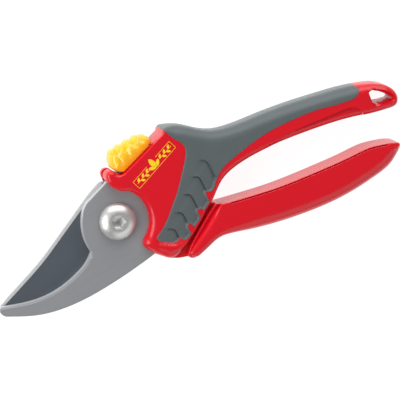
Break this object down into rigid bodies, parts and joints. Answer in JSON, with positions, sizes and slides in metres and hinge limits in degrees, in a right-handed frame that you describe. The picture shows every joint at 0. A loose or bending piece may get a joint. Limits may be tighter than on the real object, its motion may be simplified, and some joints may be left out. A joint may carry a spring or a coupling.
{
  "type": "bypass pruning shears",
  "caption": "Hand bypass pruning shears: curved hook and cutting blade on a pivot bolt, moulded two-part handles with soft grip, thumb lock slider and hanging hole.",
  "frame": {"origin": "on the pivot axis, at the flat end of the pivot bolt, in the plane the closed shears lie on", "axes": "+X from the blade tip towards the handle ends, +Y towards the lock slider, +Z along the pivot axis towards the button head; closed and locked at rest"},
  "size_m": [0.2127, 0.0745, 0.0184],
  "materials": {
    "red_plastic": "smooth glossy red moulding",
    "soft_grip": "matt grey soft-touch elastomer, fine grain",
    "yellow_print": "thin glossy yellow inlay",
    "yellow_plastic": "smooth yellow-orange moulding",
    "satin_steel": "satin grey forged steel",
    "coated_steel": "dark low-friction coating, ground edge",
    "bright_steel": "polished",
    "zinc_steel": "zinc plated",
    "spring_steel": "drawn spring wire",
    "bronze": "plain sintered bronze",
    "bumper_rubber": "black elastomer"
  },
  "bodies": {
    "upper_handle": {"upper_front_shell": "red_plastic", "upper_rear_shell": "red_plastic", "soft_grip_front": "soft_grip", "soft_grip_rear": "soft_grip", "leaf_badge": "yellow_print", "hook_blade": "satin_steel", "hook_rivet_1": "bright_steel", "hook_rivet_2": "bright_steel", "pivot_bolt": "bright_steel", "pivot_bush": "bronze", "thrust_washer": "zinc_steel", "lock_washer": "zinc_steel", "pivot_nut": "zinc_steel", "shell_screw_1": "zinc_steel", "shell_screw_2": "zinc_steel", "shell_screw_3": "zinc_steel", "shell_screw_4": "zinc_steel", "spring_seat_upper": "zinc_steel", "closing_bumper": "bumper_rubber", "lock_track_plate": "zinc_steel", "return_spring": "spring_steel"},
    "lower_handle": {"lower_handle": "red_plastic", "lower_inner_strip": "red_plastic", "cutting_blade": "coated_steel", "blade_rivet_1": "bright_steel", "blade_rivet_2": "bright_steel", "spring_seat_lower": "zinc_steel"},
    "lock_slider": {"lock_button": "yellow_plastic", "lock_key": "zinc_steel", "lock_pin": "zinc_steel"}
  },
  "joints": [
    {"name": "handle_pivot", "type": "hinge", "parent": "upper_handle", "child": "lower_handle", "pos_m": [0, 0, 0.009], "axis": [0, 0, -1], "range_deg": [0, 28], "stiffness_Nm_per_rad": 0.35, "springref_deg": 40.11, "deforming": ["return_spring"]},
    {"name": "lock_slide", "type": "slide", "parent": "upper_handle", "child": "lock_slider", "axis": [0.958, 0.2866, 0], "range_m": [0, 0.006]}
  ]
}
